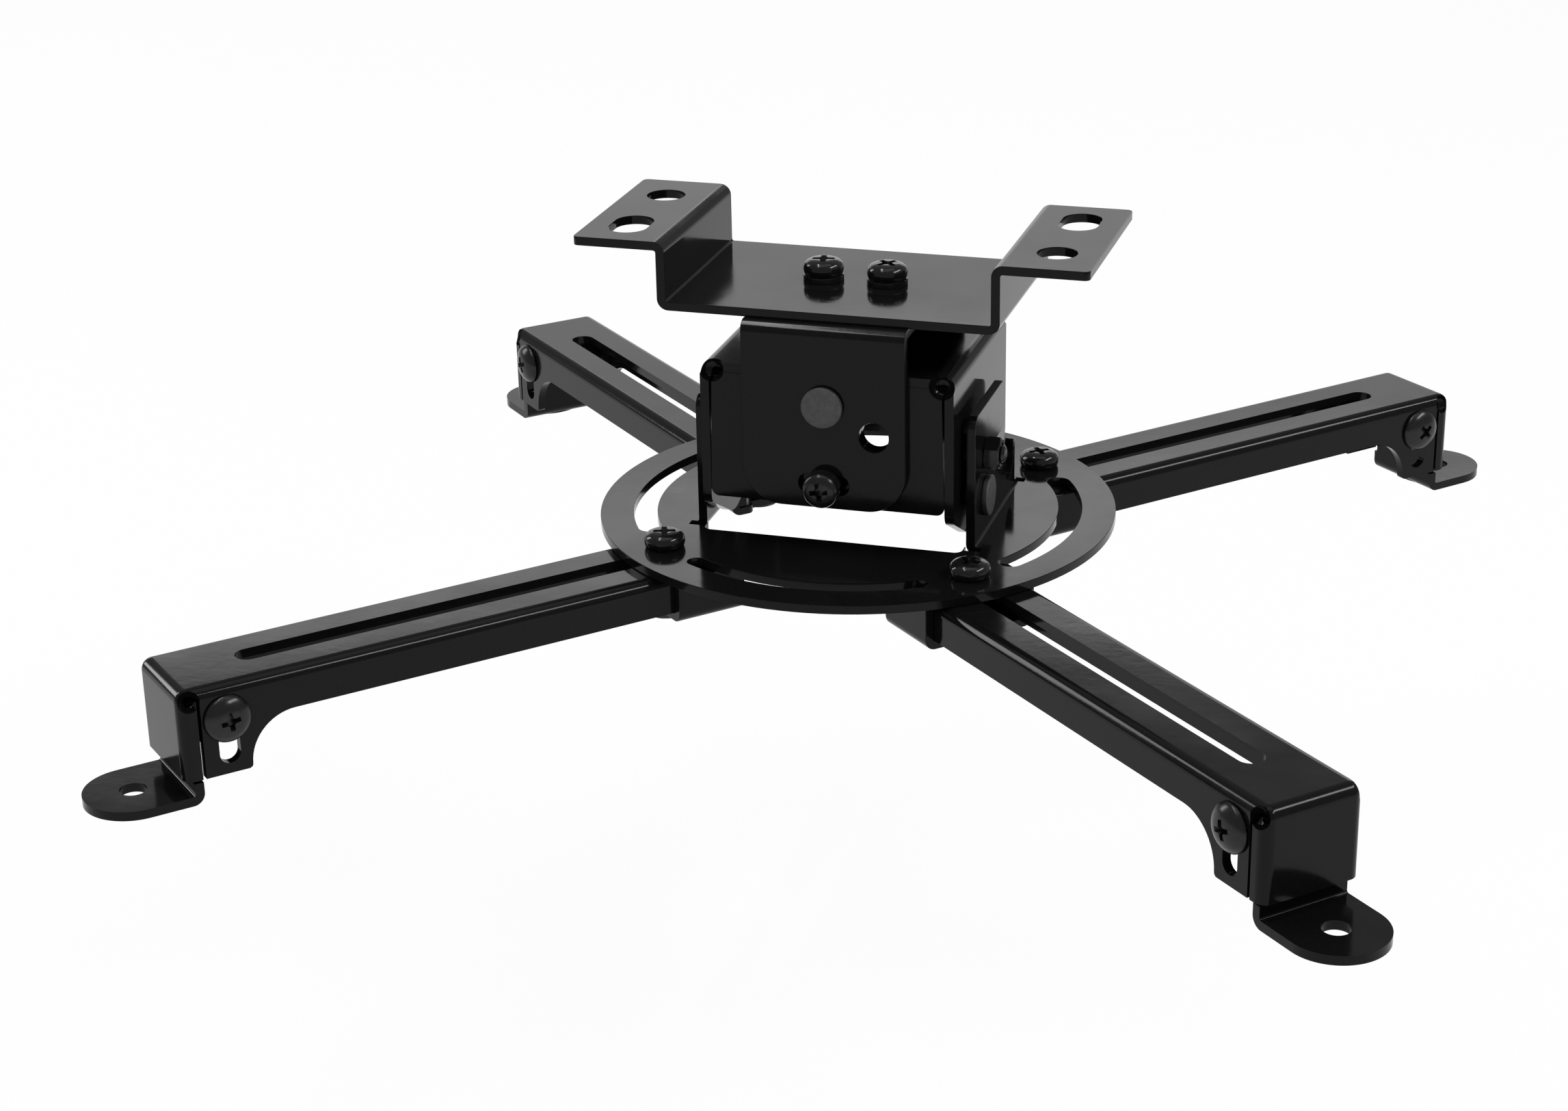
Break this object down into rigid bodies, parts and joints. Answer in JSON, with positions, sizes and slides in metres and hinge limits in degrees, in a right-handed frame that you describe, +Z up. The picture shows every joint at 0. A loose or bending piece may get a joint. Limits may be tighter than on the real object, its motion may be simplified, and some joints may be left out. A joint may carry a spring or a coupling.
{
  "type": "projector ceiling mount",
  "caption": "Projector ceiling mount: hat-shaped ceiling plate, two-way tilting head and round plate with swinging, sliding arms that end in height-adjustable feet.",
  "frame": {"origin": "on the plane under the four feet, below the middle of the object", "axes": "+Z up towards the ceiling, +X to the right along the ceiling plate's two tabs, +Y to the back, away from the lock screw"},
  "size_m": [0.3095, 0.3145, 0.1079],
  "materials": {
    "black_paint": "gloss black powder coat on 2.3 mm steel sheet",
    "black_screw": "semi-gloss black zinc on steel",
    "dark_rivet": "matt dark grey steel"
  },
  "bodies": {
    "ceiling_head": {"ceiling_plate": "black_paint", "head_nut_left": "black_screw", "head_nut_right": "black_screw", "head_screw_left": "black_screw", "head_screw_right": "black_screw", "head_washer_left": "black_screw", "head_washer_right": "black_screw", "head_yoke": "black_paint"},
    "tilting_box": {"side_lock_nut": "black_screw", "side_lock_screw": "black_screw", "side_lock_washer": "black_screw", "side_rivet_back": "dark_rivet", "side_rivet_front": "dark_rivet", "tilt_box": "black_paint"},
    "round_plate": {"pivot_rivet_left": "dark_rivet", "pivot_rivet_right": "dark_rivet", "pivot_spacer_left": "black_screw", "pivot_spacer_right": "black_screw", "ring_plate": "black_paint", "tilt_lock_bolt": "black_screw", "tilt_lock_nut": "black_screw", "tilt_lock_spacer": "black_screw"},
    "clamp_front_left": {"collar_front_left": "black_paint", "clamp_screw_front_left": "black_screw", "clamp_nut_front_left": "black_screw"},
    "arm_body_front_left": {"arm_front_left": "black_paint"},
    "foot_body_front_left": {"foot_front_left": "black_paint", "foot_screw_a_front_left": "black_screw", "foot_screw_b_front_left": "black_screw", "foot_nut_a_front_left": "black_screw", "foot_nut_b_front_left": "black_screw"},
    "clamp_front_right": {"collar_front_right": "black_paint", "clamp_screw_front_right": "black_screw", "clamp_nut_front_right": "black_screw"},
    "arm_body_front_right": {"arm_front_right": "black_paint"},
    "foot_body_front_right": {"foot_front_right": "black_paint", "foot_screw_a_front_right": "black_screw", "foot_screw_b_front_right": "black_screw", "foot_nut_a_front_right": "black_screw", "foot_nut_b_front_right": "black_screw"},
    "clamp_back_right": {"collar_back_right": "black_paint", "clamp_screw_back_right": "black_screw", "clamp_nut_back_right": "black_screw"},
    "arm_body_back_right": {"arm_back_right": "black_paint"},
    "foot_body_back_right": {"foot_back_right": "black_paint", "foot_screw_a_back_right": "black_screw", "foot_screw_b_back_right": "black_screw", "foot_nut_a_back_right": "black_screw", "foot_nut_b_back_right": "black_screw"},
    "clamp_back_left": {"collar_back_left": "black_paint", "clamp_screw_back_left": "black_screw", "clamp_nut_back_left": "black_screw"},
    "arm_body_back_left": {"arm_back_left": "black_paint"},
    "foot_body_back_left": {"foot_back_left": "black_paint", "foot_screw_a_back_left": "black_screw", "foot_screw_b_back_left": "black_screw", "foot_nut_a_back_left": "black_screw", "foot_nut_b_back_left": "black_screw"}
  },
  "joints": [
    {"name": "side_tilt", "type": "hinge", "parent": "ceiling_head", "child": "tilting_box", "pos_m": [0, 0, 0.0697], "axis": [0, 1, 0], "range_deg": [-11, 11]},
    {"name": "fore_aft_tilt", "type": "hinge", "parent": "tilting_box", "child": "round_plate", "pos_m": [0, -0.0095, 0.0417], "axis": [1, 0, 0], "range_deg": [-15, 15]},
    {"name": "swing_front_left", "type": "hinge", "parent": "round_plate", "child": "clamp_front_left", "pos_m": [-0.0396, -0.0396, 0.025], "axis": [0, 0, 1], "range_deg": [-45, 45]},
    {"name": "reach_front_left", "type": "slide", "parent": "clamp_front_left", "child": "arm_body_front_left", "axis": [-0.6769, -0.7361, 0], "range_m": [-0.022, 0.001]},
    {"name": "height_front_left", "type": "slide", "parent": "arm_body_front_left", "child": "foot_body_front_left", "axis": [0, 0, 1], "range_m": [-0.0089, 0.001]},
    {"name": "swing_front_right", "type": "hinge", "parent": "round_plate", "child": "clamp_front_right", "pos_m": [0.0396, -0.0396, 0.025], "axis": [0, 0, 1], "range_deg": [-45, 45]},
    {"name": "reach_front_right", "type": "slide", "parent": "clamp_front_right", "child": "arm_body_front_right", "axis": [0.7242, -0.6896, 0], "range_m": [-0.022, 0.001]},
    {"name": "height_front_right", "type": "slide", "parent": "arm_body_front_right", "child": "foot_body_front_right", "axis": [0, 0, 1], "range_m": [-0.0089, 0.001]},
    {"name": "swing_back_right", "type": "hinge", "parent": "round_plate", "child": "clamp_back_right", "pos_m": [0.0396, 0.0396, 0.025], "axis": [0, 0, 1], "range_deg": [-45, 45]},
    {"name": "reach_back_right", "type": "slide", "parent": "clamp_back_right", "child": "arm_body_back_right", "axis": [0.673, 0.7396, 0], "range_m": [-0.022, 0.001]},
    {"name": "height_back_right", "type": "slide", "parent": "arm_body_back_right", "child": "foot_body_back_right", "axis": [0, 0, 1], "range_m": [-0.0089, 0.001]},
    {"name": "swing_back_left", "type": "hinge", "parent": "round_plate", "child": "clamp_back_left", "pos_m": [-0.0396, 0.0396, 0.025], "axis": [0, 0, 1], "range_deg": [-45, 45]},
    {"name": "reach_back_left", "type": "slide", "parent": "clamp_back_left", "child": "arm_body_back_left", "axis": [-0.7169, 0.6972, 0], "range_m": [-0.022, 0.001]},
    {"name": "height_back_left", "type": "slide", "parent": "arm_body_back_left", "child": "foot_body_back_left", "axis": [0, 0, 1], "range_m": [-0.0089, 0.001]}
  ]
}
